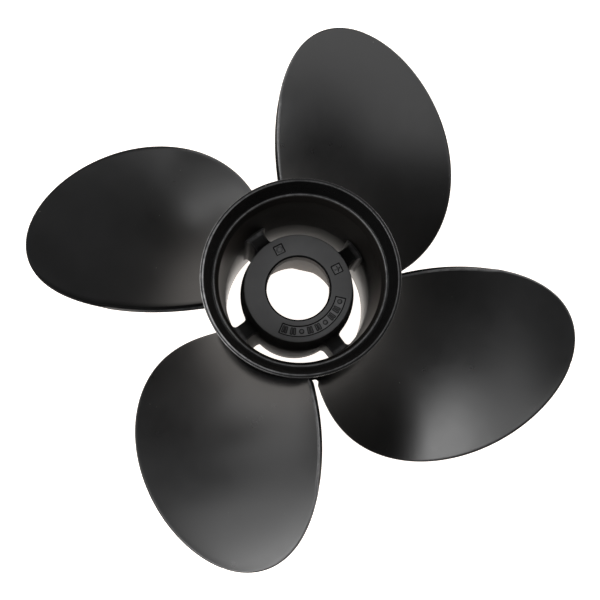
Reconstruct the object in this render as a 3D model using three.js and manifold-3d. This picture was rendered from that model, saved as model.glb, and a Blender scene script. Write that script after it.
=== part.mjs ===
// Four-blade boat propeller for an outboard motor, modelled bare: no drive sleeve in its socket.
// Millimetres, +Z is aft along the shaft axis, the forward face of the barrel stands on z = 0.
// The real object is one aluminium casting. Each mesh here is one region of that casting.

import * as THREE from 'three';
import { mergeVertices } from 'three/addons/utils/BufferGeometryUtils.js';
import { ParametricGeometry } from 'three/addons/geometries/ParametricGeometry.js';
import Module from 'manifold-3d';

const wasm = await Module();
wasm.setup();

const DEGREE = Math.PI / 180;
const GAP = 0.3;                  // clearance kept between neighbouring regions of the casting
const SEGMENTS = 72;

// ---- Driving dimensions -------------------------------------------------------------------

const TIP_RADIUS = 170.2;         // 13.4 inch diameter
const MEAN_PITCH = 420;
const TRAILING_PITCH = 457.2;     // 18 inch at the trailing edge, so the pitch is progressive
const LENGTH = 168;               // forward face to aft lip
const BLADE_COUNT = 4;
const BLADE_AZIMUTH = -9.7 * DEGREE;    // reference line of blade 1, with passage 1 on +X
const RIB_AZIMUTH = 45 * DEGREE;

const BARREL_FRONT_RADIUS = 52;
const BARREL_WAIST_RADIUS = 50;
const LIP_RADIUS = 55.2;
const LIP_THICKNESS = 1.8;
const BARREL_MOUTH_RADIUS = 48.2;       // inside, at the forward face
const BARREL_THROAT_RADIUS = 45.1;      // inside, at the narrowest
const STEP_RADIUS = 47.8;               // inside, where a small ledge parts flare and wall
const STEP_Z = LENGTH - 10.2;
const LEDGE_WIDTH = 1.2;
const NECK_RADIUS = 45.9;               // the wall draws in below the step, down to here
const NECK_Z = STEP_Z - 8;
const THROAT_Z = 87;
const WAIST_Z = 138;
const RING_Z = 153;                     // joint plane between barrel and diffuser ring

const HUB_FACE_Z = 120.3;               // aft face of the inner hub, deep inside the barrel
const HUB_FACE_RADIUS = 32.4;
const HUB_SHOULDER_Z = 87;
const HUB_SHOULDER_RADIUS = 35.6;
const HUB_FRONT_RADIUS = 34.8;
const HUB_FRONT_Z = 2;
const END_RING_Z = 108;                 // joint plane between inner hub and its end ring
const SHAFT_HOLE_RADIUS = 18.9;
const HOLE_CHAMFER = 0.9;
const SOCKET_MOUTH_RADIUS = 30;
const SOCKET_FLOOR_RADIUS = 27.6;
const SOCKET_FLAT_RATIO = 0.97;         // half the distance across flats over the socket radius
const SOCKET_TURN = -4 * DEGREE;        // the flats sit a little askew of the passages

const RIB_THICKNESS = 10;
const RIB_FRONT_Z = 28;
const RIB_AFT_Z = 100;                  // the ribs end well inside the aft face of the hub
const RIB_TWIST = 3 * DEGREE;           // turn of a rib's forward end from its aft end
const RIB_START = 25;                   // radii where the blank of a rib starts and ends
const RIB_REACH = 55;

const ROOT_REFERENCE_RADIUS = 50;       // where the outline formulas start
const BLADE_INNER_RADIUS = 47;          // inside the barrel wall, cut away afterwards
const TIP_Z = LENGTH - 65.5;            // height of the blade reference line at the tip
const ROOT_THICKNESS = 11.5;
const TIP_THICKNESS = 3.4;
const LEADING_EDGE_THICKNESS = 2;
const BLUNT_EDGE_THICKNESS = 4;         // trailing edge, from the root outwards
const FINE_EDGE_THICKNESS = 2;          // trailing edge, beyond the kink
const KINK_RADIUS = 116;
const ROOT_FILLET = 8;
const CHORD_POINTS = 19;
const SPAN_STEPS = 18;

// ---- Helpers ------------------------------------------------------------------------------

function toManifold(geometry) {
  const bare = geometry.clone();
  bare.deleteAttribute('normal');
  bare.deleteAttribute('uv');
  const merged = mergeVertices(bare, 1e-4);
  const index = merged.getIndex().array;
  const triangles = [];
  for (let i = 0; i < index.length; i += 3) {
    const [a, b, c] = [index[i], index[i + 1], index[i + 2]];
    if (a !== b && b !== c && c !== a) triangles.push(a, b, c);
  }
  return new wasm.Manifold(new wasm.Mesh({
    numProp: 3,
    vertProperties: new Float32Array(merged.getAttribute('position').array),
    triVerts: new Uint32Array(triangles),
  }));
}

function toGeometry(manifold) {
  const mesh = manifold.getMesh();
  const positions = [];
  for (let i = 0; i < mesh.vertProperties.length; i += mesh.numProp) {
    positions.push(...mesh.vertProperties.slice(i, i + 3));
  }
  const geometry = new THREE.BufferGeometry();
  geometry.setAttribute('position', new THREE.Float32BufferAttribute(positions, 3));
  geometry.setIndex([...mesh.triVerts]);
  geometry.computeVertexNormals();
  return geometry;
}

// Turns a closed loop of [radius, height] points about the Z axis. The loop runs anticlockwise.
function revolve(loop, segments = SEGMENTS) {
  const points = [...loop, loop[0]].map(([radius, z]) => new THREE.Vector2(radius, z));
  return toManifold(new THREE.LatheGeometry(points, segments).rotateX(Math.PI / 2));
}

function mix(a, b, t) {
  return a + (b - a) * t;
}

// Points of an evenly bowed curve between two [radius, height] points.
function arcPoints([r0, z0], [r1, z1], sag, count) {
  const points = [];
  const length = Math.hypot(r1 - r0, z1 - z0);
  for (let i = 0; i <= count; i += 1) {
    const t = i / count;
    const bow = 4 * t * (1 - t) * sag / length;
    points.push([mix(r0, r1, t) - (z1 - z0) * bow, mix(z0, z1, t) + (r1 - r0) * bow]);
  }
  return points;
}

function makeMaterial(color, roughness, metalness) {
  return new THREE.MeshStandardMaterial({ color, roughness, metalness });
}

// ---- Barrel and diffuser ring -------------------------------------------------------------

const barrelOutside = [
  [BARREL_FRONT_RADIUS - 1.2, 0],
  [BARREL_FRONT_RADIUS, 1.2],
  ...arcPoints([BARREL_FRONT_RADIUS, 30], [BARREL_WAIST_RADIUS, WAIST_Z], -0.5, 4),
  ...arcPoints([BARREL_WAIST_RADIUS, WAIST_Z + 4], [LIP_RADIUS, LENGTH - 1], -1.3, 6).slice(1),
];
const lipAndFlare = [
  [LIP_RADIUS - 0.4, LENGTH - 0.2],
  [LIP_RADIUS - LIP_THICKNESS / 2, LENGTH],
  [LIP_RADIUS - LIP_THICKNESS, LENGTH - 0.4],
  ...arcPoints(
    [LIP_RADIUS - LIP_THICKNESS - 0.3, LENGTH - 1.2], [STEP_RADIUS + LEDGE_WIDTH, STEP_Z], 0.25, 4,
  ),
  [STEP_RADIUS, STEP_Z],
];
const barrelInside = [
  [STEP_RADIUS - 0.3, STEP_Z - 2],
  [NECK_RADIUS, NECK_Z],
  [BARREL_THROAT_RADIUS, THROAT_Z],
  [BARREL_MOUTH_RADIUS, 1],
  [BARREL_MOUTH_RADIUS + 1, 0],
];

const wholeBarrel = revolve([...barrelOutside, ...lipAndFlare, ...barrelInside]);

function slab(zLow, zHigh) {
  const size = 4 * TIP_RADIUS;
  const box = new THREE.BoxGeometry(size, size, zHigh - zLow);
  return toManifold(box.translate(0, 0, (zLow + zHigh) / 2));
}

const barrel = wholeBarrel.intersect(slab(-1, RING_Z - GAP / 2));
const diffuserRing = wholeBarrel.intersect(slab(RING_Z + GAP / 2, LENGTH + 1));

// ---- Inner hub and its end ring -----------------------------------------------------------

const hubOutside = [
  [HUB_FRONT_RADIUS - 1, HUB_FRONT_Z],
  [HUB_FRONT_RADIUS, HUB_FRONT_Z + 1],
  [HUB_SHOULDER_RADIUS, HUB_SHOULDER_Z],
  [HUB_FACE_RADIUS, HUB_FACE_Z - 0.8],
  [HUB_FACE_RADIUS - 0.8, HUB_FACE_Z],
];

// Circle with four flats.
function socketShape(radius) {
  const shape = new THREE.Shape();
  const half = Math.acos(SOCKET_FLAT_RATIO);
  for (let k = 0; k < 4; k += 1) {
    const start = SOCKET_TURN + k * 90 * DEGREE + half;
    const end = SOCKET_TURN + (k + 1) * 90 * DEGREE - half;
    if (k === 0) shape.moveTo(radius * Math.cos(start), radius * Math.sin(start));
    else shape.lineTo(radius * Math.cos(start), radius * Math.sin(start));
    shape.absarc(0, 0, radius, start, end, false);
  }
  return shape;
}

// Socket for the drive sleeve: widest at the forward face, drafted towards its floor.
function socketCutter() {
  const depth = END_RING_Z + 2;
  const geometry = new THREE.ExtrudeGeometry(socketShape(1), {
    depth, bevelEnabled: false, curveSegments: 14,
  });
  const position = geometry.getAttribute('position');
  for (let i = 0; i < position.count; i += 1) {
    const radius = mix(SOCKET_MOUTH_RADIUS, SOCKET_FLOOR_RADIUS, position.getZ(i) / depth);
    position.setXY(i, position.getX(i) * radius, position.getY(i) * radius);
  }
  return toManifold(geometry);
}

const hubBlank = revolve([...hubOutside, [0, HUB_FACE_Z], [0, HUB_FRONT_Z]]);
const shaftHole = revolve([
  [0, END_RING_Z - 5],
  [SHAFT_HOLE_RADIUS, END_RING_Z - 5],
  [SHAFT_HOLE_RADIUS, HUB_FACE_Z - HOLE_CHAMFER],
  [SHAFT_HOLE_RADIUS + HOLE_CHAMFER + 1, HUB_FACE_Z + 1],
  [0, HUB_FACE_Z + 1],
]);
const innerHub = hubBlank.subtract(socketCutter()).intersect(slab(-1, END_RING_Z - GAP / 2));
const hubEndRing = hubBlank.subtract(shaftHole).intersect(slab(END_RING_Z + GAP / 2, LENGTH));

// ---- Ribs ---------------------------------------------------------------------------------

// The ring-shaped space between inner hub and barrel, less the clearance on both sides.
const ribSpace = revolve([
  [HUB_FRONT_RADIUS + GAP, HUB_FRONT_Z - 1],
  [BARREL_MOUTH_RADIUS - GAP, HUB_FRONT_Z - 1],
  [BARREL_THROAT_RADIUS - GAP, THROAT_Z],
  [BARREL_THROAT_RADIUS - GAP, HUB_FACE_Z - 0.8],
  [HUB_FACE_RADIUS + GAP, HUB_FACE_Z - 0.8],
  [HUB_SHOULDER_RADIUS + GAP, HUB_SHOULDER_Z],
]);

// A rib blank from inside the hub wall to outside the barrel wall, cut to the space between them.
function makeRib() {
  const corner = 1.5;
  const outline = new THREE.Shape();
  const half = RIB_THICKNESS / 2;
  outline.moveTo(RIB_FRONT_Z + half, -half);
  outline.lineTo(RIB_AFT_Z - corner, -half);
  outline.absarc(RIB_AFT_Z - corner, -half + corner, corner, -Math.PI / 2, 0, false);
  outline.absarc(RIB_AFT_Z - corner, half - corner, corner, 0, Math.PI / 2, false);
  outline.lineTo(RIB_FRONT_Z + half, half);
  outline.absarc(RIB_FRONT_Z + half, 0, half, Math.PI / 2, 1.5 * Math.PI, false);
  const geometry = new THREE.ExtrudeGeometry(outline, {
    depth: RIB_REACH - RIB_START, bevelEnabled: false, curveSegments: 6,
  });
  // Shape x becomes height, shape y the thickness, and the extrusion runs outwards.
  const axes = new THREE.Matrix4().makeBasis(
    new THREE.Vector3(0, 0, 1), new THREE.Vector3(0, 1, 0), new THREE.Vector3(-1, 0, 0),
  );
  geometry.applyMatrix4(axes).translate(RIB_REACH, 0, 0);
  const position = geometry.getAttribute('position');
  for (let i = 0; i < position.count; i += 1) {
    const [x, y, z] = [position.getX(i), position.getY(i), position.getZ(i)];
    const turn = RIB_TWIST * (RIB_AFT_Z - z) / (RIB_AFT_Z - RIB_FRONT_Z);
    position.setX(i, x * Math.cos(turn) - y * Math.sin(turn));
    position.setY(i, x * Math.sin(turn) + y * Math.cos(turn));
  }
  return toManifold(geometry).intersect(ribSpace);
}

// ---- Blades -------------------------------------------------------------------------------

function spanFraction(radius) {
  return (radius - ROOT_REFERENCE_RADIUS) / (TIP_RADIUS - ROOT_REFERENCE_RADIUS);
}

// Angle of the middle of the chord: the blade is skewed, so it swings forward to the tip.
function skewAngle(radius) {
  const x = spanFraction(radius);
  return (-12.5 + 24.5 * x ** 3 - 8.5 * x ** 5) * DEGREE;
}

function halfWidthAngle(radius) {
  const x = spanFraction(radius);
  const roundness = Math.sqrt(Math.max(0, 1 - x ** 2));
  return roundness * (41.7 + 5.4 * x - 14.9 * x ** 2) * DEGREE;
}

// Height of the pressure face: a helicoid with progressive pitch and aft rake.
function faceHeight(radius, angle) {
  const inboard = 1 - spanFraction(radius);
  const rake = 10.5 * inboard + 23.7 * inboard ** 2;
  const half = halfWidthAngle(radius);
  const offset = angle - skewAngle(radius);
  const progression = half > 1e-6 ? (offset ** 2 - half ** 2) / (2 * half) : 0;
  const turns = (MEAN_PITCH * angle + (TRAILING_PITCH - MEAN_PITCH) * progression) / (2 * Math.PI);
  return TIP_Z - rake + turns;
}

function trailingEdgeThickness(radius) {
  const t = THREE.MathUtils.smoothstep(radius, KINK_RADIUS - 3, KINK_RADIUS + 5);
  return mix(BLUNT_EDGE_THICKNESS, FINE_EDGE_THICKNESS, t);
}

function bladeThickness(radius, s) {
  const inboard = Math.min(1, 1 - spanFraction(radius));
  const middle = TIP_THICKNESS + (ROOT_THICKNESS - TIP_THICKNESS) * inboard ** 1.2;
  const edge = mix(LEADING_EDGE_THICKNESS, trailingEdgeThickness(radius), s);
  return edge + (middle - edge) * 4 * s * (1 - s);
}

function rootFillet(radius, s) {
  const distance = THREE.MathUtils.clamp(radius - BARREL_WAIST_RADIUS, 0.6, ROOT_FILLET);
  const rise = ROOT_FILLET - Math.sqrt(ROOT_FILLET ** 2 - (ROOT_FILLET - distance) ** 2);
  return rise * Math.min(1, 3 * s, 3 * (1 - s));
}

// A point of the blade skin: s runs from leading to trailing edge, side is 0 on the pressure face
// and 1 on the suction face.
function bladePoint(radius, s, side, target) {
  const helix = Math.atan(MEAN_PITCH / (2 * Math.PI * radius));
  const leading = skewAngle(radius) - halfWidthAngle(radius);
  const bluntness = trailingEdgeThickness(radius) * Math.sin(helix) / radius;
  const trailing = Math.max(leading, skewAngle(radius) + halfWidthAngle(radius) - bluntness);
  const angle = mix(leading, trailing, s);
  const fillet = rootFillet(radius, s);
  const depth = side === 0 ? -fillet - 1 : bladeThickness(radius, s) + fillet - 1;
  const z = faceHeight(radius, angle) - depth * Math.cos(helix);
  const turned = angle + depth * Math.sin(helix) / radius;
  target.set(radius * Math.cos(turned), radius * Math.sin(turned), z);
}

function makeBlade() {
  const loopCount = 2 * CHORD_POINTS;
  const surface = (u, v, target) => {
    const i = Math.round((1 - u) * loopCount) % loopCount;
    const j = Math.round(v * (SPAN_STEPS + 1));
    const side = i < CHORD_POINTS ? 0 : 1;
    const step = side === 0 ? i : loopCount - 1 - i;
    const s = j === 0 ? 0.5 : (1 - Math.cos(Math.PI * step / (CHORD_POINTS - 1))) / 2;
    const t = Math.sin(Math.PI / 2 * Math.max(0, j - 1) / SPAN_STEPS);
    bladePoint(mix(BLADE_INNER_RADIUS, TIP_RADIUS, t), s, j === 0 ? 0 : side, target);
  };
  const skin = new ParametricGeometry(surface, loopCount, SPAN_STEPS + 1);
  const cutter = revolve([
    ...barrelOutside.map(([radius, z]) => [radius + GAP, z]),
    [LIP_RADIUS, LENGTH + 5],
    [0, LENGTH + 5],
    [0, -5],
    [BARREL_FRONT_RADIUS + GAP, -5],
  ]);
  return toManifold(skin).subtract(cutter);
}

// ---- Assembly -----------------------------------------------------------------------------

const propeller = new THREE.Group();

function addRegion(name, manifold, material, turn = 0) {
  const mesh = new THREE.Mesh(toGeometry(manifold), material);
  mesh.name = name;
  mesh.rotation.z = turn;
  propeller.add(mesh);
}

const satinBlack = () => makeMaterial(0x1b1b1d, 0.42, 0.25);
const matteGrey = () => makeMaterial(0x3a3b3c, 0.6, 0.2);

addRegion('barrel', barrel, satinBlack());
addRegion('diffuser_ring', diffuserRing, satinBlack());
addRegion('inner_hub', innerHub, matteGrey());
addRegion('hub_end_ring', hubEndRing, matteGrey());

const rib = makeRib();
const blade = makeBlade();
for (let k = 0; k < BLADE_COUNT; k += 1) {
  const quarter = k * 90 * DEGREE;
  addRegion(`rib_${k + 1}`, rib, satinBlack(), RIB_AZIMUTH + quarter);
  addRegion(`blade_${k + 1}`, blade, satinBlack(), BLADE_AZIMUTH + quarter);
}

export default propeller;
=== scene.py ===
"""Four-blade boat propeller: finished surfaces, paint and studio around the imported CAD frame.

Shapes are worked out in millimetres, in the frame of the CAD: +Z runs aft along the shaft, and the
forward face of the barrel stands on z = 0. Meshes are scaled to metres when they are made.
"""

import math

import bpy
import numpy as np
from mathutils import Euler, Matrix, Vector


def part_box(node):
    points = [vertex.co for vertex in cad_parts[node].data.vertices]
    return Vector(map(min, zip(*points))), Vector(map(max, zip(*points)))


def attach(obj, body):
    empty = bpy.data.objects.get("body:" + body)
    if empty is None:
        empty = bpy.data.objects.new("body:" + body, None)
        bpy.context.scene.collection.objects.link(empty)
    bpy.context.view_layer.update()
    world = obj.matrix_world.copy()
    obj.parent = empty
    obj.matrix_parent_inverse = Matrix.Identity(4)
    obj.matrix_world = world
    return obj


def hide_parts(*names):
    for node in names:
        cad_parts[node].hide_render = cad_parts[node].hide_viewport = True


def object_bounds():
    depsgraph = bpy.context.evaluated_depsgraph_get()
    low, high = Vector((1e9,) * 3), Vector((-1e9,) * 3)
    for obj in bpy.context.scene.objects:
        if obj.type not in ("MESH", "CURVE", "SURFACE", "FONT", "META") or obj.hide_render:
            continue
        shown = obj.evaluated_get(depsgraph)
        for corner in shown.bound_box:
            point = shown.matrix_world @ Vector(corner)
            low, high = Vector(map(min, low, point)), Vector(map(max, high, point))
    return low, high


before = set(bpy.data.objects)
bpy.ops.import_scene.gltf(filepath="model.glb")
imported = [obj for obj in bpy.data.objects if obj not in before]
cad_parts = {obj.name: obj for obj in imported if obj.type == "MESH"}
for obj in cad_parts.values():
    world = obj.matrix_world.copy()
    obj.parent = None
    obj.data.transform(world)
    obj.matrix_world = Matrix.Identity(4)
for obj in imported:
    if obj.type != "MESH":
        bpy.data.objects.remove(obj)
cad_low, cad_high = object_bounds()

MM = 0.001


def box_mm(node):
    """Lowest and highest corner of a CAD node, in millimetres."""
    low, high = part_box(node)
    return np.array(low) / MM, np.array(high) / MM


def reach(node):
    """Largest distance of a CAD node from the shaft axis, in millimetres."""
    return max(math.hypot(v.co.x, v.co.y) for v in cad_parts[node].data.vertices) / MM


# ---- Dimensions ------------------------------------------------------------------------------

LENGTH = cad_high.z / MM
LIP_RADIUS = reach("diffuser_ring")
TIP_INSET = 0.05                     # the painted tip stays this far inside the CAD's
TIP_RADIUS = reach("blade_1") - TIP_INSET
HUB_FACE_Z = box_mm("hub_end_ring")[1][2]
HUB_FRONT_Z = box_mm("inner_hub")[0][2]
RIB_FRONT_Z = box_mm("rib_1")[0][2]
RIB_AFT_Z = box_mm("rib_1")[1][2]
HALF_GAP = 0.15                      # the CAD regions keep twice this from each other
RING_Z = box_mm("barrel")[1][2] + HALF_GAP
END_RING_Z = box_mm("inner_hub")[1][2] + HALF_GAP

BARREL_FRONT_RADIUS = 52
BARREL_WAIST_RADIUS = 50
WAIST_Z = 138
LIP_THICKNESS = 1.8
BARREL_MOUTH_RADIUS = 48.2
BARREL_THROAT_RADIUS = 45.1
THROAT_Z = 87
STEP_RADIUS = 47.8
STEP_Z = LENGTH - 10.2
NECK_RADIUS = 45.9                   # the wall draws in below the step, down to here
NECK_Z = STEP_Z - 8
LEDGE_WIDTH = 1.2

HUB_FACE_RADIUS = 32.4
HUB_SHOULDER_Z = 87
HUB_SHOULDER_RADIUS = 35.6
HUB_FRONT_RADIUS = 34.8
SHAFT_HOLE_RADIUS = 18.9
HOLE_CHAMFER = 0.9
SOCKET_MOUTH_RADIUS = 30
SOCKET_FLOOR_RADIUS = 27.6
SOCKET_FLAT_RATIO = 0.97
SOCKET_TURN = math.radians(-4)

MEAN_PITCH = 420
TRAILING_PITCH = 457.2
BLADE_AZIMUTH = math.radians(-9.7)
RIB_AZIMUTH = math.radians(45)
ROOT_REFERENCE_RADIUS = 50
TIP_Z = LENGTH - 65.5
ROOT_THICKNESS = 11.5
TIP_THICKNESS = 3.4
LEADING_EDGE_THICKNESS = 2
BLUNT_EDGE_THICKNESS = 4
FINE_EDGE_THICKNESS = 2
KINK_RADIUS = 116
RIB_THICKNESS = 10


# ---- Helpers ---------------------------------------------------------------------------------

def smoothstep(low, high, x):
    t = np.clip((x - low) / (high - low), 0, 1)
    return t * t * (3 - 2 * t)


def mix(a, b, t):
    return a + (b - a) * t


def turn_from(centre, angle, period=2 * math.pi):
    """Turn from the centre to an angle, wrapped to within half a period on either side."""
    return (angle - centre + period / 2) % period - period / 2


def make_piece(node, slot, points, faces, **zones):
    """One closed mesh object from millimetre points, riding on the root body.

    Zones are point values from 0 to 1 that the paint reads: one for bright metal at rubbed edges
    and for painted highlights, bare (thin paint) and shade (painted shade, in dull black).
    """
    name = node + "_finish"
    mesh = bpy.data.meshes.new(name)
    mesh.from_pydata((np.asarray(points) * MM).tolist(), [], faces)
    mesh.validate()
    for zone in ("wear", "bare", "shade"):
        attribute = mesh.attributes.new(zone, "FLOAT", "POINT")
        values = np.broadcast_to(zones.get(zone, 0), len(points)).astype(np.float32)
        attribute.data.foreach_set("value", values)
    mesh.shade_smooth()
    piece = bpy.data.objects.new(name, mesh)
    bpy.context.scene.collection.objects.link(piece)
    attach(piece, "root")
    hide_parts(node)
    return piece


def crisp(piece, degrees=35):
    """Keeps sharp edges sharp, and the shading of broad faces apart from small roundings."""
    piece.data.set_sharp_from_angle(angle=math.radians(degrees))
    modifier = piece.modifiers.new("shading", "WEIGHTED_NORMAL")
    modifier.keep_sharp = True
    modifier.weight = 80


def rounded(corners, steps=5):
    """Profile through (radius, z, rounding) corners: each rounding becomes an arc."""
    points = []
    count = len(corners)
    for i in range(count):
        r, z, rounding = corners[i]
        here = np.array([r, z], float)
        before = np.array(corners[i - 1][:2], float)
        after = np.array(corners[(i + 1) % count][:2], float)
        if rounding == 0:
            points.append(here)
            continue
        a = (before - here) / np.linalg.norm(before - here)
        b = (after - here) / np.linalg.norm(after - here)
        half = math.acos(np.clip(a @ b, -1, 1)) / 2
        reach_back = rounding / math.tan(half)
        centre = here + (a + b) / np.linalg.norm(a + b) * rounding / math.sin(half)
        start, end = here + a * reach_back - centre, here + b * reach_back - centre
        total = math.acos(np.clip(start @ end / rounding ** 2, -1, 1))
        for k in range(steps + 1):
            t = k / steps
            points.append(centre + (math.sin((1 - t) * total) * start
                                    + math.sin(t * total) * end) / math.sin(total))
    return [tuple(p) for p in points]


def bowed(start, end, sag, count):
    """Points of an evenly bowed curve between two (radius, z) points."""
    (r0, z0), (r1, z1) = start, end
    length = math.hypot(r1 - r0, z1 - z0)
    points = []
    for i in range(count + 1):
        t = i / count
        bow = 4 * t * (1 - t) * sag / length
        points.append((mix(r0, r1, t) - (z1 - z0) * bow, mix(z0, z1, t) + (r1 - r0) * bow))
    return points


def ring_faces(rows, columns, first=0):
    """Quads of a torus-like grid, rows round the section and columns round the axis."""
    faces = []
    for i in range(rows):
        for j in range(columns):
            a, b = i, (i + 1) % rows
            k = (j + 1) % columns
            faces.append((first + a * columns + j, first + a * columns + k,
                          first + b * columns + k, first + b * columns + j))
    return faces


def tube_faces(rows, count):
    """Quads of an open tube: rows of closed loops, one after the other."""
    return [(i * count + j, (i + 1) * count + j, (i + 1) * count + (j + 1) % count,
             i * count + (j + 1) % count) for i in range(rows - 1) for j in range(count)]


def cap_faces(strips, first, flip):
    """Faces that close a tube's end by strips across it."""
    faces = []
    for strip in strips:
        face = tuple(dict.fromkeys(first + j for j in strip))
        if len(face) > 2:
            faces.append(face[::-1] if flip else face)
    return faces


def revolve(profile, columns, radius_at=None):
    """Turns a closed (radius, z) loop about the axis. radius_at(row, angles) may reshape a row."""
    angles = np.arange(columns) * 2 * math.pi / columns
    points = []
    for row, (radius, z) in enumerate(profile):
        radii = np.full(columns, radius) if radius_at is None else radius_at(row, radius, angles)
        points.append(np.stack([radii * np.cos(angles), radii * np.sin(angles),
                                np.full(columns, z)], 1))
    return np.concatenate(points), ring_faces(len(profile), columns)


# ---- Barrel and diffuser ring ----------------------------------------------------------------

BARREL_COLUMNS = 240
BARREL_ANGLES = np.arange(BARREL_COLUMNS) * 2 * math.pi / BARREL_COLUMNS
WALL_RADIUS = 49                     # parts the inside of the barrel from its outside

BORE_SHADE_AZIMUTH = math.radians(75)   # painted shade: the bore is dull black on this side
BORE_SHADE_FULL = math.radians(55)      # fully, up to this turn away from the middle of that side
BORE_SHADE_END = math.radians(115)      # and no more beyond this one
BORE_SHADE_FADE_Z = 30                  # forward of here it is this much weaker
BORE_SHADE_FORWARD = 0.3
THROAT_SHADE = 0.6                    # painted shade: a dull black line runs round the throat's crease
THROAT_SHADE_WIDTH = 3
# strength of the painted shade in the bore
BORE_SHADE = 0.95

ROOT_GAP_AZIMUTH = math.radians(-67)     # painted shade: dull black between one blade's root and the next
ROOT_GAP_SPREAD = math.radians(9)
ROOT_GAP_TOP_Z = 120
ROOT_GAP_FULL_Z = 90

LIP_HIGHLIGHT_AZIMUTH = math.radians(205)    # painted highlight: the lip's rubbed edges are brightest on this side, toward the key lamps
LIP_HIGHLIGHT_SPREAD = math.radians(45)
LIP_EDGE = (0.2, 0.55)               # distances from a corner where the painted highlight is full, and ends
LEDGE_EDGE = (0.3, 0.9)
INNER_LIP_HIGHLIGHT = (0.13, 1)           # away from the bright side, and on it
OUTER_LIP_HIGHLIGHT = (0.03, 0.7)
# painted highlight along the ledge's edge
LEDGE_HIGHLIGHT = 0.2

outer_curve = (
    [(BARREL_FRONT_RADIUS, 1.2)]
    + bowed((BARREL_FRONT_RADIUS, 30), (BARREL_WAIST_RADIUS, WAIST_Z), -0.5, 16)
    + bowed((BARREL_WAIST_RADIUS, WAIST_Z + 4), (LIP_RADIUS, LENGTH - 0.6), -1.3, 16)[1:]
)
outer_z = [z for _, z in outer_curve]
outer_r = [r for r, _ in outer_curve]


def barrel_radius(z):
    return np.interp(z, outer_z, outer_r)


inner_curve = rounded([
    (STEP_RADIUS - 0.3, STEP_Z - 2, 0), (NECK_RADIUS, NECK_Z, 16),
    (BARREL_THROAT_RADIUS, THROAT_Z, 12), (BARREL_MOUTH_RADIUS, 1, 0),
])
inner_z = [z for _, z in inner_curve][::-1]
inner_r = [r for r, _ in inner_curve][::-1]


def bore_radius(z):
    return np.interp(z, inner_z, inner_r)


def between(curve, low, high):
    return [(r, z) for r, z in curve if low < z < high]


front_edge = [(r, z) for r, z in rounded([
    (BARREL_MOUTH_RADIUS, 30, 0), (BARREL_MOUTH_RADIUS, 0, 0.9),
    (BARREL_FRONT_RADIUS, 0, 1.1), (BARREL_FRONT_RADIUS, 30, 0),
]) if z < 29]
barrel_profile = (
    front_edge
    + between(outer_curve, 2, RING_Z)
    + [(barrel_radius(RING_Z), RING_Z), (bore_radius(RING_Z), RING_Z)]
    + between(inner_curve, 2, RING_Z)
)
points, faces = revolve(barrel_profile, BARREL_COLUMNS)


def towards(azimuth, centre, spread):
    """1 at the centre azimuth, fading to 0 over the spread on both sides."""
    return np.exp(-(turn_from(centre, azimuth) / spread) ** 2)


def bore_painted_shade(r, z):
    """Painted shade on the bore's wall at one row: dull black, strongest on one side and at the
    neck.
    """
    spray_and_side_shade = 1 - smoothstep(BORE_SHADE_FULL, BORE_SHADE_END,
                             np.abs(turn_from(BORE_SHADE_AZIMUTH, BARREL_ANGLES)))
    lengthwise = mix(BORE_SHADE_FORWARD, 1, smoothstep(BORE_SHADE_FADE_Z, THROAT_Z, z))
    throat_shade_line = THROAT_SHADE * math.exp(-((z - THROAT_Z) / THROAT_SHADE_WIDTH) ** 2)
    painted_shade = np.maximum(spray_and_side_shade * lengthwise, throat_shade_line)
    painted_shade = np.maximum(painted_shade, smoothstep(NECK_Z - 3, NECK_Z + 1, z))
    return BORE_SHADE * painted_shade * (r < STEP_RADIUS + 0.5 and z < STEP_Z - 0.8)


def root_gap_painted_shade(z):
    """Painted shade on the barrel's outside at one row: dull black in the four gaps between blade
    roots.
    """
    from_gap = turn_from(ROOT_GAP_AZIMUTH, BARREL_ANGLES, math.pi / 2)
    around = np.minimum(1, 2 * np.exp(-(from_gap / ROOT_GAP_SPREAD) ** 2))
    return around * smoothstep(ROOT_GAP_TOP_Z, ROOT_GAP_FULL_Z, z)


thin_paint = np.repeat([float(r < WALL_RADIUS) for r, _ in barrel_profile], BARREL_COLUMNS)
# Painted shade: dull black in the bore, and outside in the gaps between blade roots.
barrel_painted_shade = np.concatenate([bore_painted_shade(r, z) if r < WALL_RADIUS else root_gap_painted_shade(z)
                              for r, z in barrel_profile])
barrel = make_piece("barrel", "barrel_paint", points, faces, bare=thin_paint, shade=barrel_painted_shade)
crisp(barrel)

flare_foot = (STEP_RADIUS + LEDGE_WIDTH, STEP_Z)
flare = bowed((LIP_RADIUS - LIP_THICKNESS, LENGTH), flare_foot, 0.25, 10)
lip_corners = rounded([
    (barrel_radius(LENGTH - 3), LENGTH - 3, 0), (LIP_RADIUS, LENGTH, 0.5),
    (*flare[0], 0.55), (*flare[1], 0),
])[1:-1]
lip_corners.insert(len(lip_corners) // 2, (LIP_RADIUS - LIP_THICKNESS / 2, LENGTH))
step_corner = rounded([
    (*flare[-2], 0), (*flare_foot, 0.25), (STEP_RADIUS, STEP_Z, 0.9), (*inner_curve[0], 0),
], 7)[1:-1]
ring_profile = (
    [(barrel_radius(RING_Z), RING_Z)]
    + between(outer_curve, RING_Z, LENGTH - 1.6)
    + lip_corners
    + flare[1:-1]
    + step_corner
    + between(inner_curve, RING_Z, step_corner[-1][1] - 0.2)
    + [(bore_radius(RING_Z), RING_Z)]
)
points, faces = revolve(ring_profile, BARREL_COLUMNS)


def near_corner(r, z, corner, near, far):
    """1 up to the near distance from a corner of the section, 0 beyond the far one."""
    return 1 - smoothstep(near, far, math.hypot(r - corner[0], z - corner[1]))


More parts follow.
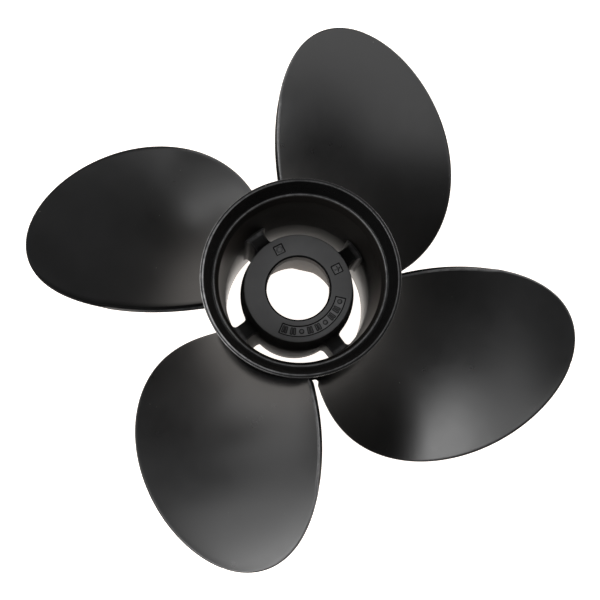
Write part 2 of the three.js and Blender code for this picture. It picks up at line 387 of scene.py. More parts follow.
def ring_wear(r, z):
    """Rubbed edges of the lip brightened into a painted highlight, most on the side toward the key
    lamps, and a painted highlight along the ledge.
    """
    toward_key = towards(BARREL_ANGLES, LIP_HIGHLIGHT_AZIMUTH, LIP_HIGHLIGHT_SPREAD)
    inner_edge = near_corner(r, z, (flare[0][0] + 0.1, LENGTH - 0.1), *LIP_EDGE)
    outer_edge = near_corner(r, z, (LIP_RADIUS - 0.1, LENGTH - 0.1), *LIP_EDGE)
    ledge_edge = near_corner(r, z, (STEP_RADIUS + 0.2, STEP_Z), *LEDGE_EDGE)
    lip = np.maximum(inner_edge * mix(*INNER_LIP_HIGHLIGHT, toward_key),
                     outer_edge * mix(*OUTER_LIP_HIGHLIGHT, toward_key))
    return np.maximum(lip, LEDGE_HIGHLIGHT * ledge_edge)


# Painted highlight on the lip's rubbed edges and on the ledge.
lip_wear = np.concatenate([ring_wear(r, z) for r, z in ring_profile])
# Painted shade on the ring's bore wall below the step.
ring_painted_shade = np.concatenate([bore_painted_shade(r, z) for r, z in ring_profile])
diffuser = make_piece("diffuser_ring", "barrel_paint", points, faces,
                      wear=lip_wear, bare=ring_painted_shade > 0, shade=ring_painted_shade)
crisp(diffuser)


# ---- Inner hub and its end ring --------------------------------------------------------------

HUB_COLUMNS = 240
HUB_THIN_FROM_Z = 80                 # the outside's paint thins from here
HUB_THIN_FULL_Z = 20

flank = bowed((HUB_SHOULDER_RADIUS - 0.25, HUB_SHOULDER_Z + 5),
              (HUB_FACE_RADIUS, HUB_FACE_Z - 0.8), 0.15, 6)
hub_curve = (
    [(HUB_FRONT_RADIUS, HUB_FRONT_Z + 1)]
    + bowed((HUB_FRONT_RADIUS + 0.75, HUB_SHOULDER_Z - 6), flank[0], -0.2, 6)[:-1]
    + flank
)
hub_z = [z for _, z in hub_curve]
hub_r = [r for r, _ in hub_curve]


def hub_radius(z):
    return np.interp(z, hub_z, hub_r)


def socket_radius(z):
    return mix(SOCKET_MOUTH_RADIUS, SOCKET_FLOOR_RADIUS, z / (END_RING_Z + 2))


def with_flats(radius, angles):
    """Radius of the socket wall at each angle: a circle with four flats."""
    from_flat = turn_from(SOCKET_TURN, angles, math.pi / 2)
    return np.minimum(radius, radius * SOCKET_FLAT_RATIO / np.cos(from_flat))


mouth = rounded([
    (socket_radius(20), 20, 0), (SOCKET_MOUTH_RADIUS, HUB_FRONT_Z, 0.8),
    (HUB_FRONT_RADIUS, HUB_FRONT_Z, 0.8), (HUB_FRONT_RADIUS, 20, 0),
])[1:-1]
hub_profile = (
    mouth
    + between(hub_curve, HUB_FRONT_Z + 2, END_RING_Z)
    + [(hub_radius(END_RING_Z), END_RING_Z), (socket_radius(END_RING_Z), END_RING_Z)]
    + [(socket_radius(z), z) for z in (90, 70, 50, 30, 12)]
)
socket_rows = {i for i, (r, z) in enumerate(hub_profile) if r < SOCKET_MOUTH_RADIUS + 1.2}


def hub_row(row, radius, angles):
    return with_flats(radius, angles) if row in socket_rows else np.full(len(angles), radius)


points, faces = revolve(hub_profile, HUB_COLUMNS, hub_row)
hub_bare = np.repeat([
    1.0 if row in socket_rows else smoothstep(HUB_THIN_FROM_Z, HUB_THIN_FULL_Z, z)
    for row, (_, z) in enumerate(hub_profile)], HUB_COLUMNS)
inner_hub = make_piece("inner_hub", "hub_paint", points, faces, bare=hub_bare)
crisp(inner_hub, 25)


# The aft face of the end ring carries foundry marks: two square pads and one curved panel, each
# sunk into the face, with plain raised shapes standing in them.

FACE_COLUMNS = 960
FACE_ROW_STEP = 0.16
MARK_DEPTH = 0.8
MARK_RADIUS = 25.9
RAISED_SHARE = 0.85                  # of the mark's depth that its raised shapes fill
PAD_SIZE = 5.6
PAD_AZIMUTHS = (math.radians(35.3), math.radians(124.5))
PAD_BAR = (1.7, 0.35)                # half sizes of the strokes of a plain cross
PAD_RING_RADIUS = 1.55
PAD_RING_HALF = 0.35
PANEL_START = math.radians(-105.3)
PANEL_END = math.radians(-3.6)
PANEL_HALF = 3.1
PANEL_SHAPES = 9                     # pairs of strokes, with a round boss in each third place
PANEL_MARGIN = 2.6
STROKE_HALF = (0.38, 1.75)
STROKE_OFFSET = 0.9
BOSS_RADIUS = 1.1
EDGE_SOFT = 0.12
GROOVE_SHADOW_HALF = 0.35                  # painted shadow: a mark's edge is lined in dull black
# strength of the painted shadow round a mark's raised shapes
INNER_GROOVE_SHADOW = 0.8
FACE_SHADE = 0.2                      # painted shade: the face is a little darker on the side the lamps light most than on the other
FACE_SHADE_SWING = 0.24
FACE_SHADE_AZIMUTH = math.radians(33)
MARK_WEAR = 0.24


def inside(distance):
    """1 where the signed distance is well inside, 0 outside, with a soft wall between."""
    return smoothstep(-EDGE_SOFT, EDGE_SOFT, -distance)


def box_distance(x, y, half_x, half_y, corner=0.3):
    """Signed distance to a rectangle with rounded corners, negative inside it."""
    dx = np.abs(x) - half_x + corner
    dy = np.abs(y) - half_y + corner
    outside = np.hypot(np.maximum(dx, 0), np.maximum(dy, 0))
    return outside + np.minimum(np.maximum(dx, dy), 0) - corner


def stroke(x, y, half_x, half_y):
    return box_distance(x, y, half_x, half_y, 0.1)


def mark_edge_shadow(edge):
    """Painted shadow that runs along a mark's edge, in dull black."""
    return inside(np.abs(edge + 0.1) - GROOVE_SHADOW_HALF)


def pad_marks(radius, angle, azimuth, crossed):
    """Height and painted groove shadow of one square pad, with a plain cross or a plain ring in
    it.
    """
    x = radius * np.cos(angle - azimuth) - MARK_RADIUS
    y = radius * np.sin(angle - azimuth)
    edge = box_distance(x, y, PAD_SIZE / 2, PAD_SIZE / 2)
    sunk = inside(edge)
    if crossed:
        raised = np.maximum(inside(stroke(x, y, *PAD_BAR)), inside(stroke(x, y, *PAD_BAR[::-1])))
    else:
        raised = inside(np.abs(np.hypot(x, y) - PAD_RING_RADIUS) - PAD_RING_HALF)
    groove_shadow = np.maximum(mark_edge_shadow(edge), sunk * INNER_GROOVE_SHADOW * (1 - np.abs(2 * raised - 1)))
    return -MARK_DEPTH * sunk * (1 - RAISED_SHARE * raised), groove_shadow


def panel_marks(radius, angle):
    """Height and painted groove shadow of the curved panel, with its row of plain strokes and
    bosses.
    """
    along = turn_from((PANEL_START + PANEL_END) / 2, angle) * MARK_RADIUS
    across = radius - MARK_RADIUS
    half_length = (PANEL_END - PANEL_START) / 2 * MARK_RADIUS
    edge = box_distance(along, across, half_length, PANEL_HALF)
    groove_shadow = mark_edge_shadow(edge)
    raised = np.zeros_like(radius)
    first = -half_length + PANEL_MARGIN
    for k, station in enumerate(np.linspace(first, -first, PANEL_SHAPES)):
        if k % 3 == 2:
            shape = np.hypot(along - station, across) - BOSS_RADIUS
        else:
            shape = np.minimum(stroke(along - station + STROKE_OFFSET, across, *STROKE_HALF),
                               stroke(along - station - STROKE_OFFSET, across, *STROKE_HALF))
        raised = np.maximum(raised, inside(shape))
        groove_shadow = np.maximum(groove_shadow, INNER_GROOVE_SHADOW * inside(np.abs(shape - 0.15) - GROOVE_SHADOW_HALF))
    return -MARK_DEPTH * inside(edge) * (1 - RAISED_SHARE * raised), groove_shadow


def face_marks(radius, angle):
    """Height of the aft face over its own plane, and the painted shadows round its marks."""
    height, groove_shadow = panel_marks(radius, angle)
    for azimuth, crossed in zip(PAD_AZIMUTHS, (True, False)):
        pad_height, pad_groove_shadow = pad_marks(radius, angle, azimuth, crossed)
        height = height + pad_height
        groove_shadow = np.maximum(groove_shadow, pad_groove_shadow)
    return height, groove_shadow


hole_edge = rounded([
    (HUB_FACE_RADIUS, HUB_FACE_Z, 0), (SHAFT_HOLE_RADIUS + HOLE_CHAMFER, HUB_FACE_Z, 0.25),
    (SHAFT_HOLE_RADIUS, HUB_FACE_Z - HOLE_CHAMFER, 0.25), (SHAFT_HOLE_RADIUS, END_RING_Z, 0),
], 3)[1:-1] + [(SHAFT_HOLE_RADIUS, HUB_FACE_Z - 1.5), (SHAFT_HOLE_RADIUS, HUB_FACE_Z - 2)]
face_edge = rounded([
    (hub_radius(END_RING_Z), END_RING_Z, 0), (HUB_FACE_RADIUS, HUB_FACE_Z, 0.8),
    (SHAFT_HOLE_RADIUS, HUB_FACE_Z, 0),
], 6)[1:-1]
face_radii = np.arange(MARK_RADIUS + PANEL_HALF + 0.5, MARK_RADIUS - PANEL_HALF - 0.7,
                       -FACE_ROW_STEP)
end_profile = (
    [(hub_radius(END_RING_Z), END_RING_Z)]
    + between(hub_curve, END_RING_Z, face_edge[0][1] - 0.4)
    + face_edge
    + [(r, HUB_FACE_Z) for r in face_radii]
    + hole_edge
    + [(SHAFT_HOLE_RADIUS, END_RING_Z + 0.6), (SHAFT_HOLE_RADIUS + 0.6, END_RING_Z)]
)
points, faces = revolve(end_profile, FACE_COLUMNS)
on_face = np.abs(points[:, 2] - HUB_FACE_Z) < 1e-6
angle = np.arctan2(points[:, 1], points[:, 0])
radius = np.hypot(points[:, 0], points[:, 1])
height, groove_shadow = face_marks(radius[on_face], angle[on_face])
points[on_face, 2] += height
# Painted shade over the end ring, darker on one side; the marks' painted shadow lines are laid
# over it on the face.
painted_shade = FACE_SHADE + FACE_SHADE_SWING * np.cos(angle - FACE_SHADE_AZIMUTH)
end_shade = painted_shade * (points[:, 2] > HUB_FACE_Z - 2)
end_shade[on_face] = np.maximum(painted_shade[on_face], groove_shadow)
end_wear = np.zeros(len(points))
end_wear[on_face] = MARK_WEAR * (height < -0.3) * (1 - groove_shadow)
# Painted shade: the shaft hole's chamfer and the top of its wall are dull black.
in_hole = radius < SHAFT_HOLE_RADIUS + HOLE_CHAMFER + 0.05
end_shade[in_hole] = points[in_hole, 2] > HUB_FACE_Z - 1.6
end_bare = in_hole * (points[:, 2] < HUB_FACE_Z - 1)
end_ring = make_piece("hub_end_ring", "hub_paint", points, faces,
                      shade=end_shade, wear=end_wear, bare=end_bare)
crisp(end_ring)


# ---- Ribs ------------------------------------------------------------------------------------

def fillet(distance, size):
    """How far a concave fillet of that size stands out at a distance from the wall."""
    d = np.clip(distance, 0, size)
    return size - np.sqrt(size ** 2 - (size - d) ** 2)


RIB_TWIST = math.radians(3)          # the forward end of a rib is turned by this from its aft end
RIB_BED = 1.2                        # how far a rib runs into the walls at its ends
RIB_FRONT_ROUNDING = 4.4
RIB_AFT_ROUNDING = 1.5
RIB_HUB_FILLET = 3.4
RIB_BARREL_FILLET = 3.0
RIB_SPANS = (-RIB_BED, 0, 0.4, 0.9, 1.5, 2.2, 3.2, 4.6)     # steps from a wall to mid-rib
RIB_CORNER_POINTS = 7
RIB_SIDE_POINTS = 13
RIB_EDGE_HIGHLIGHT = 0.45                      # painted highlight on the corners of a rib's aft end, and along its seam
RIB_SEAM = (0.8, 2.5)                # distances from the barrel's wall
RIB_THIN = 0.15


def rib_outline():
    """Centres, roundings and outward directions round a rib's section, in (z, y)."""
    half = RIB_THICKNESS / 2
    corners = (
        (RIB_AFT_Z - RIB_AFT_ROUNDING, 1, RIB_AFT_ROUNDING, 0),
        (RIB_FRONT_Z + RIB_FRONT_ROUNDING, 1, RIB_FRONT_ROUNDING, 90),
        (RIB_FRONT_Z + RIB_FRONT_ROUNDING, -1, RIB_FRONT_ROUNDING, 180),
        (RIB_AFT_Z - RIB_AFT_ROUNDING, -1, RIB_AFT_ROUNDING, 270),
    )
    rows = []
    for k, (z, sign, rounding, first) in enumerate(corners):
        for i in range(RIB_CORNER_POINTS):
            direction = math.radians(first + 90 * i / (RIB_CORNER_POINTS - 1))
            rows.append((z, sign * (half - rounding), rounding,
                         math.cos(direction), math.sin(direction)))
        if k in (0, 2):
            next_z, _, next_rounding, _ = corners[k + 1]
            for t in np.linspace(0, 1, RIB_SIDE_POINTS)[1:-1]:
                size = mix(rounding, next_rounding, t)
                rows.append((mix(z, next_z, t), sign * (half - size), size, 0, sign))
    return np.array(rows).T


def make_rib(index):
    """Rib number index, its section lofted from the hub's wall to the barrel's."""
    centre_z, centre_y, size, along, across = rib_outline()
    count = len(size)
    rows = []
    for wall in ("hub", "barrel"):
        for d in (RIB_SPANS if wall == "hub" else RIB_SPANS[::-1]):
            z = centre_z + along * size
            for _ in range(3):
                inner, outer = hub_radius(z), bore_radius(z)
                scale = (outer - inner) / 2 / (RIB_SPANS[-1] + 0.5) if d > 0 else 1
                rho = inner + d * scale if wall == "hub" else outer - d * scale
                grow = fillet(rho - inner, RIB_HUB_FILLET) + fillet(outer - rho, RIB_BARREL_FILLET)
                z = centre_z + along * (size + grow)
            y = centre_y + across * (size + grow)
            turn = (RIB_AZIMUTH + (index - 1) * math.pi / 2
                    + RIB_TWIST * (RIB_AFT_Z - z) / (RIB_AFT_Z - RIB_FRONT_Z))
            x = np.sqrt(rho ** 2 - y ** 2)
            rows.append(np.stack([x * np.cos(turn) - y * np.sin(turn),
                                  x * np.sin(turn) + y * np.cos(turn), z], 1))
    faces = tube_faces(len(rows), count)
    pairs = [(j, j + 1, count - 2 - j, count - 1 - j) for j in range(count // 2 - 1)]
    faces += cap_faces(pairs, 0, False) + cap_faces(pairs, (len(rows) - 1) * count, True)
    world = np.concatenate(rows)
    # Painted highlight lines on a rib's aft corners and along its seam with the barrel.
    edge = np.maximum(0, 1 - np.abs(np.degrees(np.arctan2(np.abs(across), along)) - 45) / 30)
    seam = [float(RIB_SEAM[0] < d < RIB_SEAM[1]) for d in RIB_SPANS[::-1]]
    seam = np.repeat([0.0] * len(RIB_SPANS) + seam, count)
    height = world[:, 2]
    return make_piece(
        f"rib_{index}", "hub_paint", world, faces,
        bare=RIB_THIN * smoothstep(RIB_AFT_Z - 3, RIB_AFT_Z - 14, height),
        wear=RIB_EDGE_HIGHLIGHT * np.maximum(np.tile(edge, len(rows)), seam) * (height > RIB_AFT_Z - 6),
    )


# ---- Blades ----------------------------------------------------------------------------------

# The outline of a blade is given by the angles of its middle and its half width at each radius,
# as polynomials of the share of the span. They are the same as in the CAD.

def span_fraction(r):
    """0 at the root's reference radius, 1 at the tip."""
    return np.clip((r - ROOT_REFERENCE_RADIUS) / (TIP_RADIUS - ROOT_REFERENCE_RADIUS), -1, 1)


def skew_angle(r):
    """Angle of the middle of the outline."""
    x = span_fraction(r)
    return np.radians(-12.5 + 24.5 * x ** 3 - 8.5 * x ** 5)


def half_width_angle(r):
    """Angle from the middle of the outline to either edge."""
    x = span_fraction(r)
    return np.sqrt(np.maximum(0, 1 - x ** 2)) * np.radians(41.7 + 5.4 * x - 14.9 * x ** 2)


def face_height(r, angle):
    """Height of the pressure face: a raked helicoid whose pitch grows to the trailing edge."""
    inboard = 1 - span_fraction(r)
    rake = 10.5 * inboard + 23.7 * inboard ** 2
    half = np.maximum(half_width_angle(r), 1e-6)
    offset = angle - skew_angle(r)
    progression = np.clip((offset ** 2 - half ** 2) / (2 * half), -1, 1)
    return TIP_Z - rake + (MEAN_PITCH * angle
                           + (TRAILING_PITCH - MEAN_PITCH) * progression) / (2 * math.pi)


def beyond_kink(r):
    """0 where the trailing edge is blunt, 1 where it is fine."""
    return smoothstep(KINK_RADIUS - 3, KINK_RADIUS + 5, r)


def trailing_thickness(r):
    return mix(BLUNT_EDGE_THICKNESS, FINE_EDGE_THICKNESS, beyond_kink(r))


def edge_slope(r, side):
    """Slope of the leading (side -1) or trailing (side 1) edge's outline against the radius."""
    step = 0.05
    ahead = skew_angle(r + step) + side * half_width_angle(r + step)
    behind = skew_angle(r - step) + side * half_width_angle(r - step)
    return (ahead - behind) / (2 * step) * r


def edge_rounding(distance, size):
    """Share of the half thickness left at a distance from an edge rounded over size."""
    return np.sqrt(np.maximum(0, 1 - (1 - np.clip(distance / size, 0, 1)) ** 2))


NOSE_ROUNDING = 1.3
PRESSURE_CORNER = 1.0                # roundings of the blunt trailing edge's two corners
SUCTION_CORNER = 0.6
ROUND_EDGE_SHARE = 0.97              # a fine edge is rounded over this share of its half thickness


def blade_section(r, s, side):
    """Angle and height of skin points at radius r and share s of the chord.

    side is 0 on the pressure face and 1 on the suction face, and values between run across the
    blunt trailing edge.
    """
    helix = np.arctan(MEAN_PITCH / (2 * math.pi * r))
    half = half_width_angle(r)
    blunt = trailing_thickness(r)
    leading = skew_angle(r) - half
    trailing = np.maximum(leading, skew_angle(r) + half - blunt * np.sin(helix) / r)
    angle = mix(leading, trailing, s)
    chord = (trailing - leading) * r / np.cos(helix)
    slope_le = edge_slope(r, -1) / np.cos(helix)
    slope_te = edge_slope(r, 1) / np.cos(helix)
    from_le = s * chord / np.sqrt(1 + slope_le ** 2)
    from_te = (1 - s) * chord / np.sqrt(1 + slope_te ** 2)
    inboard = np.clip(1 - span_fraction(r), 0, 1)
    middle = TIP_THICKNESS + (ROOT_THICKNESS - TIP_THICKNESS) * inboard ** 1.2
    edge = mix(LEADING_EDGE_THICKNESS, blunt, s)
    thickness = edge + (middle - edge) * 4 * s * (1 - s)
    nose = edge_rounding(from_le, NOSE_ROUNDING)
    fine = beyond_kink(r)
    corner_p = mix(PRESSURE_CORNER, ROUND_EDGE_SHARE * blunt / 2, fine)
    corner_s = mix(SUCTION_CORNER, ROUND_EDGE_SHARE * blunt / 2, fine)
    share_p = 1 - corner_p / (blunt / 2) * (1 - edge_rounding(from_te, corner_p))
    share_s = 1 - corner_s / (blunt / 2) * (1 - edge_rounding(from_te, corner_s))
    share = mix(-share_p, share_s, side)
    depth = thickness / 2 * (1 + share * nose) - 1
    z = face_height(r, angle) - depth * np.cos(helix)
    return angle + depth * np.sin(helix) / r, z


NOSE_POINTS = 6                      # crowded into this share of the chord at each edge
NOSE_SHARE = 0.012
CHORD_STEPS = 34
CHORD_CROWDING = 0.25                # how far the even part of the spacing runs past the edges
SPAN_ROWS = 74
FILLET_ROWS = 9
BACK_POINTS = 2
ROOT_FILLET = 10.3
EDGE_FILLET = 6.5
FILLET_MEET = math.radians(13)       # the fillet meets the blade in a faint crease of this angle
BLADE_BED = 1.2                      # how far a blade runs into the barrel wall
BED_Z = 0.4                          # and how near to the barrel's forward face its root may come
ROOT_GUESS_Z = 60                    # where the search for the root's height starts
ROOT_ROUNDS = 4
FILLET_GROWTH = 0.13                 # share of the chord over which the fillet reaches full size
TIP_MARGIN = 0.02

# Zones of edge wear, painted highlight and painted shade, as shares of the chord, from where they
# start to where they are full.
TRAILING_RIM = (0.985, 0.999)
LEADING_RIM = (NOSE_SHARE, 0.002)
TIP_RIM = (0.8, 0.1)                 # this one in millimetres from the tip
# painted highlight along the trailing corner of the pressure face
CORNER_LINE = (0.992, 0.998)
DARK_CORNER_LINE = (0.978, 0.992)
DARK_CORNER_BLADE = 3                      # this blade's trailing corner gets a painted shadow line instead of the painted highlight
DARK_CORNER_SHADE = 0.8
DARK_CORNER_RIM_WEAR_AND_HIGHLIGHT = 0.14
BACK_SHADE = 0.85                    # painted shade: dull black on the other blades' blunt trailing faces
# painted highlight on the trailing corner, and edge wear round the rims that also stands in for
# their highlights
CORNER_HIGHLIGHT = 0.3
RIM_WEAR_AND_HIGHLIGHT = 0.08


def chord_stations():
    """Shares of the chord from just past the leading edge to the trailing edge."""
    nose = NOSE_SHARE * (1 - np.cos(np.linspace(0, math.pi / 2, NOSE_POINTS)))
    even = np.linspace(0, 1, CHORD_STEPS)
    middle = smoothstep(-CHORD_CROWDING, 1 + CHORD_CROWDING, even)
    middle = (middle - middle[0]) / (middle[-1] - middle[0])
    return np.concatenate([nose[1:], mix(NOSE_SHARE, 1 - NOSE_SHARE, middle[1:-1]),
                           1 - nose[::-1]])


def blade_zones(index, r, s, side):
    """Rubbed edges, painted highlights and painted shade of a blade's points."""
    rim = np.maximum(smoothstep(*TRAILING_RIM, s), smoothstep(*LEADING_RIM, s))
    rim = np.maximum(rim, smoothstep(TIP_RADIUS - TIP_RIM[0], TIP_RADIUS - TIP_RIM[1], r))
    outboard = r > ROOT_REFERENCE_RADIUS + 4
    corner = (side == 0) * outboard
    if index == DARK_CORNER_BLADE:
        return (DARK_CORNER_RIM_WEAR_AND_HIGHLIGHT * rim * (side > 0),
                DARK_CORNER_SHADE * smoothstep(*DARK_CORNER_LINE, s) * corner)
    back = (s == 1) * (side > 0) * (side < 1) * outboard
    wear = np.maximum(CORNER_HIGHLIGHT * smoothstep(*CORNER_LINE, s) * corner,
                      RIM_WEAR_AND_HIGHLIGHT * rim * (s < 0.9))
    return wear, BACK_SHADE * back


def make_blade(index):
    """Blade number index, from its fillet on the barrel out to the tip."""
    chord_s = chord_stations()
    across = np.linspace(0, 1, BACK_POINTS + 2)[1:-1]
    s = np.concatenate([[0], chord_s, np.ones(BACK_POINTS), chord_s[::-1]])
    side = np.concatenate([[0.5], np.zeros(len(chord_s)), across, np.ones(len(chord_s))])
    count = len(s)

    near_edge = smoothstep(0, FILLET_GROWTH, np.minimum(s, 1 - s))
    fillet_size = mix(EDGE_FILLET, ROOT_FILLET, near_edge)

    def skin(r, grow):
        """Angle and height of the skin, moved outwards by grow in the developed section."""
        angle, z = blade_section(r, s, side)
        x = angle * r
        dx = np.roll(x, -1) - np.roll(x, 1)
        dz = np.roll(z, -1) - np.roll(z, 1)
        length = np.maximum(np.hypot(dx, dz), 1e-9)
        return (x + dz / length * grow) / r, z + dx / length * grow

    rows = []
    z = np.full(count, float(ROOT_GUESS_Z))
    bed = (np.full(count, -BLADE_BED), fillet_size * math.cos(FILLET_MEET))
    arc = [(fillet_size * (1 - math.sin(psi)),
            fillet_size * (math.cos(FILLET_MEET) - math.cos(psi)))
           for psi in np.linspace(math.pi / 2, FILLET_MEET, FILLET_ROWS)]
    for away, grow in [bed, *arc]:
        for _ in range(ROOT_ROUNDS):
            r = barrel_radius(z) + away
            angle, z = skin(r, grow)
            z = np.maximum(z, BED_Z)
        rows.append((r, angle, z))
    start = rows[-1][0]
    stations = np.sin(np.linspace(0, math.pi / 2, SPAN_ROWS + 1))
    for t in [0.25 * stations[1], *stations[1:]]:
        r = mix(start, TIP_RADIUS - TIP_MARGIN, t)
        angle, z = blade_section(r, s, side)
        rows.append((r, angle, z))
    turn = BLADE_AZIMUTH + (index - 1) * math.pi / 2
    world = np.concatenate([np.stack([r * np.cos(a + turn), r * np.sin(a + turn), z], 1)
                            for r, a, z in rows])
    strips = [(j, j + 1, (count - j - 1) % count, (count - j) % count)
              for j in range(count // 2)]
    faces = tube_faces(len(rows), count)
    faces += cap_faces(strips, 0, False) + cap_faces(strips, (len(rows) - 1) * count, True)
    wear, shade = blade_zones(index, np.concatenate([r for r, _, _ in rows]),
                              np.tile(s, len(rows)), np.tile(side, len(rows)))
    return make_piece(f"blade_{index}", "blade_paint", world, faces, wear=wear, shade=shade)


ribs = [make_rib(k) for k in (1, 2, 3, 4)]
for rib in ribs:
    crisp(rib)
blades = [make_blade(k) for k in (1, 2, 3, 4)]


# ---- Paint -----------------------------------------------------------------------------------

class Nodes:
    """A small builder for one material's node tree."""

    def __init__(self, name):
        self.material = bpy.data.materials.new(name)
        self.material.use_nodes = True
        self.tree = self.material.node_tree
        self.tree.nodes.clear()

    def add(self, kind, values=None, **settings):
        node = self.tree.nodes.new(kind)
        for key, value in settings.items():
            setattr(node, key, value)
        for key, value in (values or {}).items():
            if isinstance(value, bpy.types.NodeSocket):
                self.tree.links.new(value, node.inputs[key])
            else:
                node.inputs[key].default_value = value
        return node

    def noise(self, coordinates, scale, detail=2.0, roughness=0.5):
        return self.add("ShaderNodeTexNoise", {
            "Vector": coordinates, "Scale": scale, "Detail": detail, "Roughness": roughness,
        }).outputs["Fac"]

    def ramp(self, value, low, high, to_low, to_high):
        return self.add("ShaderNodeMapRange", {
            "Value": value, "From Min": low, "From Max": high, "To Min": to_low, "To Max": to_high,
        }).outputs["Result"]

    def maths(self, operation, a, b=0.0):
        return self.add("ShaderNodeMath", {0: a, 1: b}, operation=operation).outputs[0]

    def blend(self, factor, a, b):
        node = self.add("ShaderNodeMix", {0: factor, 6: a, 7: b}, data_type="RGBA")
        return node.outputs[2]


DUST = (0.30, 0.29, 0.28, 1)
THIN_PAINT = (0.070, 0.057, 0.048, 1)
# colour of rubbed edges and of painted highlights
WORN_AND_HIGHLIT_EDGE = (0.45, 0.45, 0.46, 1)
# colour of painted shade
DEEP_BLACK = (0.004, 0.004, 0.004, 1)
SHADE_STRENGTH = 0.97
SHADE_ROUGHNESS = 0.65
SPECK_STRENGTH = 0.6
GRAIN_HEIGHT = 0.00006               # metres
WAVE_HEIGHT = 0.00008


def paint(name, colour, roughness, grain, gloss=0.5, thin_roughness=0.32):
    """Sprayed black paint over a casting: fine grain, soft mottling, dust, rubbed edges and
    painted highlights.

    Where shade is full, the paint is dull black with no gloss: painted shade. thin_roughness is
    for bare zones.
    """
    n = Nodes(name)
    place = n.add("ShaderNodeTexCoord").outputs["Object"]
    mottle = n.noise(place, 28, 3)
    streak = n.noise(place, 130, 2)
    fine = n.noise(place, 1500, 3, 0.6)
    cells = n.add("ShaderNodeTexVoronoi", {"Vector": place, "Scale": 150}, feature="F1")
    sparse = n.noise(place, 47, 1)
    speck = n.maths("MULTIPLY", n.ramp(cells.outputs["Distance"], 0.025, 0.045, 1, 0),
                    n.ramp(sparse, 0.55, 0.60, 0, 1))
    wear, bare, shade = (n.add("ShaderNodeAttribute", attribute_name=zone).outputs["Fac"]
                         for zone in ("wear", "bare", "shade"))
    # Rubbed edges and painted highlights, broken up by noise.
    worn_and_highlit = n.maths("MULTIPLY", wear, n.ramp(n.noise(place, 260, 3, 0.7), 0.35, 0.65, 0.45, 1))
    thin = n.maths("MULTIPLY", bare, n.ramp(mottle, 0.3, 0.7, 0.8, 1))
    dark = [c * 0.86 for c in colour[:3]] + [1]
    light = [c * 1.16 for c in colour[:3]] + [1]
    base = n.blend(n.ramp(mottle, 0.35, 0.65, 0, 1), dark, light)
    base = n.blend(n.maths("MULTIPLY", speck, SPECK_STRENGTH), base, DUST)
    base = n.blend(thin, base, THIN_PAINT)
    base = n.blend(worn_and_highlit, base, WORN_AND_HIGHLIT_EDGE)
    # Painted shade: dull black where the shade zone is full.
    base = n.blend(n.maths("MULTIPLY", shade, SHADE_STRENGTH), base, DEEP_BLACK)
    spray_and_side_shade = n.maths("ADD", n.ramp(mottle, 0.3, 0.7, roughness - 0.02, roughness + 0.02),
                      n.ramp(streak, 0.3, 0.7, -0.012, 0.012))
    rough = n.add("ShaderNodeMix", {
        0: thin, 2: spray_and_side_shade, 3: n.ramp(shade, 0, 1, thin_roughness, SHADE_ROUGHNESS),
    }, data_type="FLOAT").outputs[0]
    bump = n.add("ShaderNodeBump", {"Strength": grain, "Distance": GRAIN_HEIGHT, "Height": fine})
    wave = n.add("ShaderNodeBump", {"Strength": grain / 2, "Distance": WAVE_HEIGHT,
                                    "Height": streak, "Normal": bump.outputs[0]})
    # Painted shade also takes the gloss away.
    shader = n.add("ShaderNodeBsdfPrincipled", {
        "Base Color": base, "Roughness": rough, "Normal": wave.outputs[0],
        "IOR": 1.5, "Specular IOR Level": n.ramp(shade, 0, 1, gloss, 0),
    })
    n.add("ShaderNodeOutputMaterial", {"Surface": shader.outputs[0]})
    return n.material


blade_paint = paint("satin_black_blades", (0.007, 0.007, 0.0073), roughness=0.30, grain=0.22)
barrel_paint = paint("satin_black_barrel", (0.003, 0.003, 0.0031), roughness=0.25, grain=0.06,
                     gloss=0.4)
rib_paint = paint("satin_black_ribs", (0.055, 0.055, 0.0555), roughness=0.65, grain=0.25,
                  gloss=0.3, thin_roughness=0.7)
hub_paint = paint("matte_grey_hub", (0.118, 0.118, 0.1199), roughness=0.66, grain=0.4,
                  gloss=0.34, thin_roughness=0.68)

for piece, material in (
    (barrel, barrel_paint), (diffuser, barrel_paint), (inner_hub, hub_paint),
    (end_ring, hub_paint), *((rib, rib_paint) for rib in ribs),
    *((blade, blade_paint) for blade in blades),
):
    piece.data.materials.append(material)


# ---- Studio ----------------------------------------------------------------------------------

# Lengths here are in metres, as the lamps and the floor stand in the world.

FLOOR_HALF = 3.0
FLOOR_Z = -0.001
FLOOR_COLOUR = (0.80, 0.75, 0.71, 1)
GLOW_COLOUR = (1, 0.95, 0.9, 1)
FLOOR_GLOW = 0.5                     # even light from the floor besides what the lamps give it
BRIGHT_SIDE = (-0.85, 0.53, 0)       # it glows more beyond the part on this side
BRIGHT_SIDE_GLOW = 0.9
MIDDLE_GLOW = 1.7                    # and under the bore
SEEN_GLOW = 1.15                     # what the camera itself sees is evenly white
WORLD_GREY = 0.088

floor_mesh = bpy.data.meshes.new("floor")
floor_mesh.from_pydata([(x * FLOOR_HALF, y * FLOOR_HALF, FLOOR_Z)
                        for x, y in ((-1, -1), (1, -1), (1, 1), (-1, 1))],
                       [], [(0, 1, 2, 3)])
floor = bpy.data.objects.new("floor", floor_mesh)
bpy.context.scene.collection.objects.link(floor)
n = Nodes("white_floor")
seen = n.add("ShaderNodeLightPath").outputs["Is Camera Ray"]
place = n.add("ShaderNodeTexCoord").outputs["Object"]
sideways = n.add("ShaderNodeVectorMath", {0: place, 1: BRIGHT_SIDE},
                 operation="DOT_PRODUCT").outputs["Value"]
away = n.add("ShaderNodeVectorMath", {0: place}, operation="LENGTH").outputs["Value"]
glow = n.maths("MAXIMUM", n.ramp(sideways, 0.09, 0.25, FLOOR_GLOW, BRIGHT_SIDE_GLOW),
               n.ramp(away, 0.05, 0.16, MIDDLE_GLOW, FLOOR_GLOW))
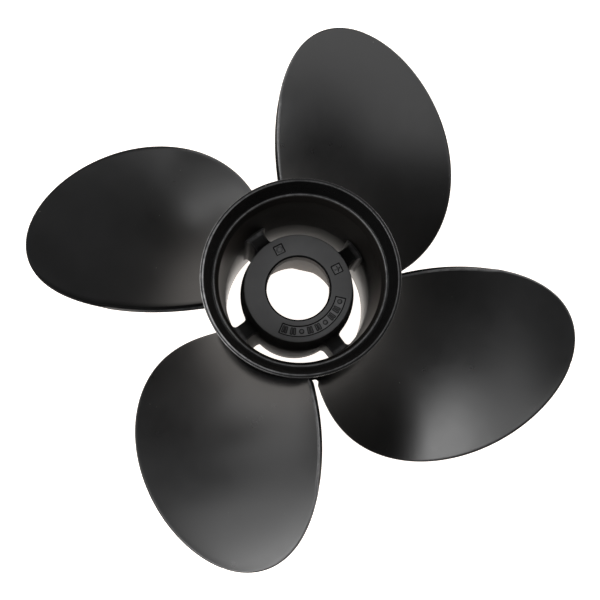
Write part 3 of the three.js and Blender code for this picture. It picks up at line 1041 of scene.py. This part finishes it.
shader = n.add("ShaderNodeBsdfPrincipled", {
    "Base Color": FLOOR_COLOUR, "Roughness": 0.9,
    "Emission Color": GLOW_COLOUR,
    "Emission Strength": n.add("ShaderNodeMix", {0: seen, 2: glow, 3: SEEN_GLOW},
                               data_type="FLOAT").outputs[0],
})
n.add("ShaderNodeOutputMaterial", {"Surface": shader.outputs[0]})
floor.data.materials.append(n.material)

world = bpy.data.worlds.new("studio")
bpy.context.scene.world = world
world.use_nodes = True
background = world.node_tree.nodes["Background"]
background.inputs["Color"].default_value = (WORLD_GREY, WORLD_GREY, WORLD_GREY, 1)

STUDIO_CENTRE = Vector((0, 0, 0.08))
STUDIO_RADIUS = 0.95


def softbox(name, azimuth, elevation, width, height, radiance, colour=(1, 1, 1)):
    """Rectangular light on a dome round the part, facing its centre. Angles in degrees."""
    data = bpy.data.lights.new(name, "AREA")
    data.shape = "RECTANGLE"
    data.size, data.size_y = width, height
    data.energy = math.pi * width * height * radiance       # watts
    data.color = colour
    lamp = bpy.data.objects.new(name, data)
    bpy.context.scene.collection.objects.link(lamp)
    around, up = math.radians(azimuth), math.radians(elevation)
    outwards = Vector((math.cos(up) * math.cos(around), math.cos(up) * math.sin(around),
                       math.sin(up)))
    lamp.location = STUDIO_CENTRE + outwards * STUDIO_RADIUS
    lamp.rotation_euler = (-outwards).to_track_quat("-Z", "Y").to_euler()


softbox("key_strip", 211, 46, 0.66, 0.30, 7.5)
softbox("key_glow", 191, 39, 0.88, 0.31, 3.1)
softbox("high_bounce", 12, 50, 1.16, 0.49, 1.7)
softbox("side_strip", 37.5, 15, 0.61, 0.26, 7.3)
softbox("low_bounce", 154, 8, 0.74, 0.49, 1.75)
softbox("front_strip", 253, 55, 0.25, 0.28, 3.1)
softbox("overhead", 95, 61, 1.20, 0.36, 0.8)


# ---- Camera ----------------------------------------------------------------------------------

CAMERA_PLACE = (-4.12, -76.8, 682.2)     # millimetres, nearly over the aft end
CAMERA_ANGLES = (7.77, 0.46, 8.75)       # tilt, roll and turn, degrees

camera_data = bpy.data.cameras.new("camera")
camera_data.sensor_width = 36
camera_data.lens = 57.118
camera_data.shift_x = 0.0596
camera_data.shift_y = -0.0237
camera = bpy.data.objects.new("camera", camera_data)
bpy.context.scene.collection.objects.link(camera)
camera.location = Vector(CAMERA_PLACE) * MM
camera.rotation_euler = Euler([math.radians(angle) for angle in CAMERA_ANGLES])
bpy.context.scene.camera = camera

view = bpy.context.scene.view_settings
view.view_transform = "Standard"
view.look = "None"
